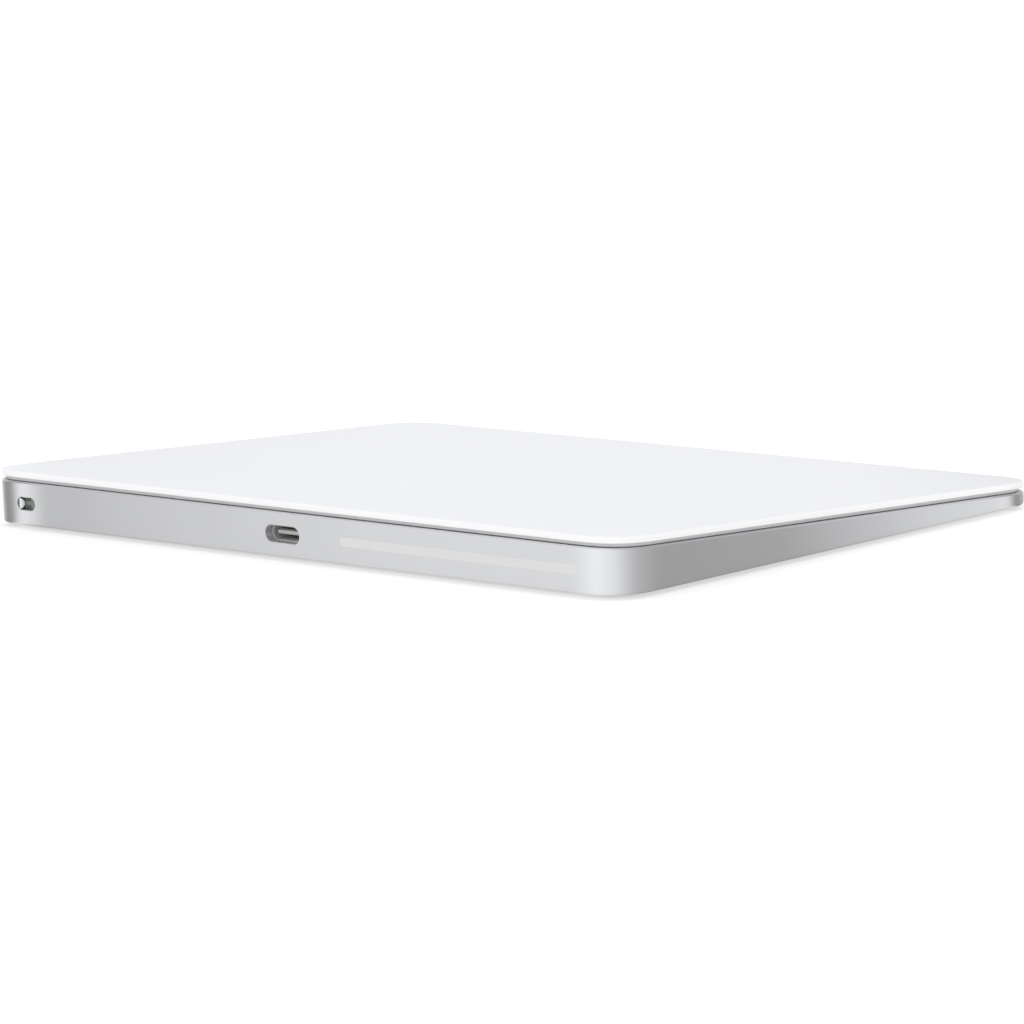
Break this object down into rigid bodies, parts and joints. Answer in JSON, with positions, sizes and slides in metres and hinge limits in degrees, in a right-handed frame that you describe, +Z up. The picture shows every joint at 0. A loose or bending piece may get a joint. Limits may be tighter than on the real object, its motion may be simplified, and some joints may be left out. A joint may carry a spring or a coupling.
{
  "type": "trackpad",
  "caption": "Wedge-shaped desk trackpad: glass touch plate on leaf springs over a metal tray, with a haptic drive, charging port and power slide at the rear.",
  "frame": {"origin": "on the desk, under the middle of the case", "axes": "+X to the user's right, +Y towards the thick rear edge with the port, +Z up"},
  "size_m": [0.16, 0.115, 0.0109],
  "materials": {
    "case_aluminium": "satin",
    "cover_plastic": "matte",
    "adhesive": "matte",
    "foot_rubber": "matte",
    "window_plastic": "matte",
    "gold_metal": "satin",
    "circuit_board": "satin",
    "steel": "satin",
    "black_plastic": "satin",
    "pale_plastic": "matte",
    "tongue_plastic": "satin",
    "knob_aluminium": "satin",
    "marker_film": "satin",
    "cell_pouch": "satin",
    "flex_film": "gloss",
    "core_steel": "matte",
    "copper": "satin",
    "spring_steel": "satin",
    "gauge_film": "gloss",
    "gel": "gloss",
    "sensor_laminate": "satin",
    "white_glass": "satin"
  },
  "bodies": {
    "base": {"housing": "case_aluminium", "bottom_cover": "cover_plastic", "cover_tape": "adhesive", "feet": "foot_rubber", "antenna_window": "window_plastic", "antenna": "gold_metal", "main_board": "circuit_board", "board_screws": "steel", "board_chips": "black_plastic", "radio_shield": "steel", "flex_sockets": "pale_plastic", "usb_shell": "steel", "usb_tongue": "tongue_plastic", "usb_contacts": "gold_metal", "switch_body": "black_plastic", "battery_cells": "cell_pouch", "battery_tapes": "adhesive", "battery_boards": "circuit_board", "battery_leads": "flex_film", "haptic_bracket": "steel", "haptic_cores": "core_steel", "haptic_coils": "copper", "haptic_screws": "steel", "haptic_lead": "flex_film", "leaf_screws": "steel", "sensor_flex": "flex_film"},
    "power_slider": {"power_knob": "knob_aluminium", "power_marker": "marker_film", "switch_lever": "pale_plastic"},
    "spring_set": {"leaf_springs": "spring_steel", "strain_gauges": "gauge_film", "gel_pads": "gel"},
    "touch_plate": {"armature_bar": "core_steel", "carrier_plate": "steel", "sensor_board": "sensor_laminate", "glass_glue": "adhesive", "glass": "white_glass"}
  },
  "joints": [
    {"name": "power_slide", "type": "slide", "parent": "base", "child": "power_slider", "axis": [-1, 0, 0], "range_m": [0, 0.0032]},
    {"name": "plate_press", "type": "slide", "parent": "base", "child": "spring_set", "axis": [0, 0.0521, -0.9986], "range_m": [0, 0.00015], "stiffness_N_per_m": 12000, "springref_m": -0.00015, "deforming": ["leaf_springs", "sensor_flex"]},
    {"name": "plate_shake", "type": "slide", "parent": "spring_set", "child": "touch_plate", "axis": [1, 0, 0], "range_m": [-0.00015, 0.00015], "stiffness_N_per_m": 20000, "deforming": ["sensor_flex"]}
  ]
}
